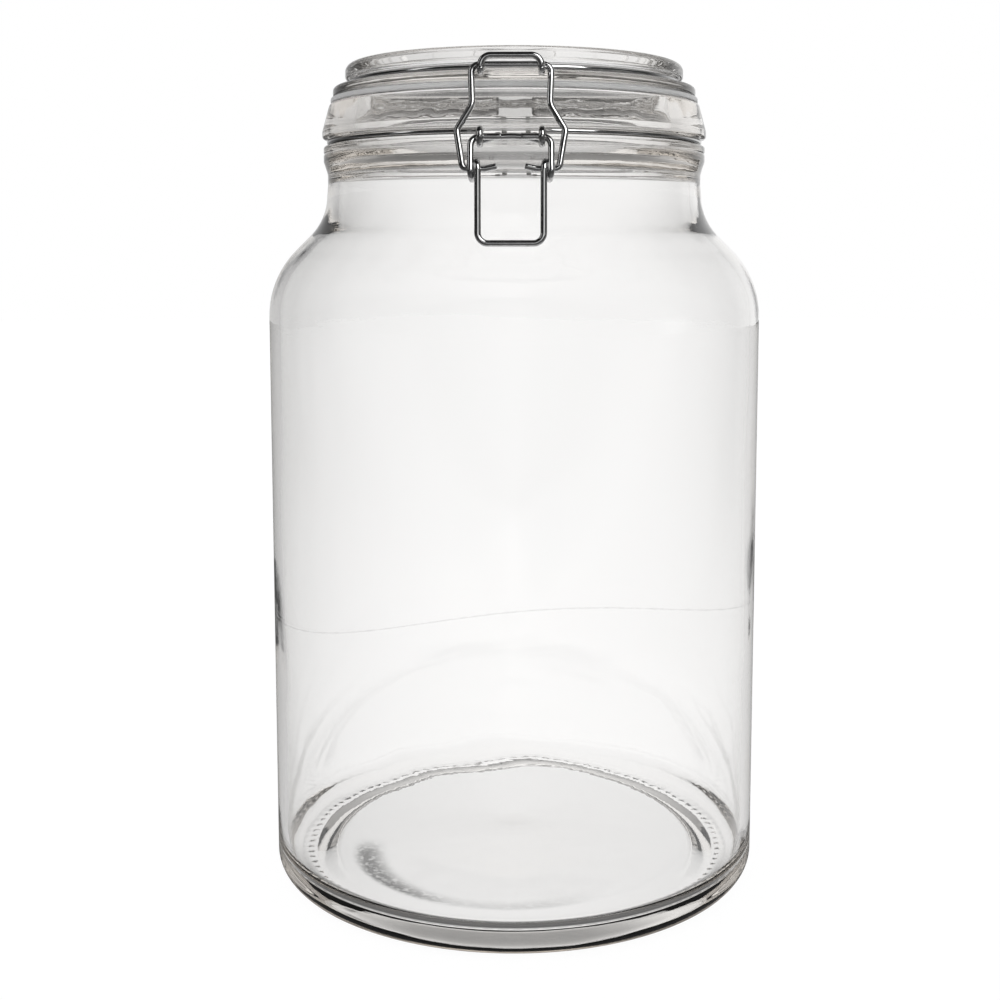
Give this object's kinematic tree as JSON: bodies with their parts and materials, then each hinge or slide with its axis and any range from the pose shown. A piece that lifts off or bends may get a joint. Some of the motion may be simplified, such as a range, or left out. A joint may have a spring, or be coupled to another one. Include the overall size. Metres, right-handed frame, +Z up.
{
  "type": "clip-top glass storage jar",
  "caption": "Tall round clear glass jar with a narrower neck, a pressed glass lid on a rubber ring, and a wire bail and lever clamp in front of a wire hinge.",
  "frame": {"origin": "on the jar's axis, in the plane that its base stands on", "axes": "+Z up along the jar's axis, -Y towards the clamp at the front, +Y towards the hinge"},
  "size_m": [0.1756, 0.1756, 0.29],
  "materials": {
    "glass": "clear pressed glass, fire polished",
    "wire": "bright drawn steel wire with sheared ends",
    "gasket": "translucent moulded silicone, matt"
  },
  "bodies": {
    "jar": {"glass_jar": "glass", "neck_wire": "wire"},
    "lever": {"lever": "wire"},
    "bail": {"bail": "wire"},
    "lid": {"glass_lid": "glass", "gasket": "gasket", "lid_wire": "wire"}
  },
  "joints": [
    {"name": "lever_pivot", "type": "hinge", "parent": "jar", "child": "lever", "pos_m": [0, -0.07315, 0.26025], "axis": [-1, 0, 0], "range_deg": [0, 120]},
    {"name": "bail_pivot", "type": "hinge", "parent": "lever", "child": "bail", "pos_m": [0, -0.07415, 0.25025], "axis": [1, 0, 0], "range_deg": [0, 93.6]},
    {"name": "lid_hinge", "type": "hinge", "parent": "jar", "child": "lid", "pos_m": [0, 0.07235, 0.26505], "axis": [-1, 0, 0], "range_deg": [0, 110]}
  ],
  "couplings": [
    {"joint": "bail_pivot", "follows": "lever_pivot", "ratio": 0.78}
  ]
}
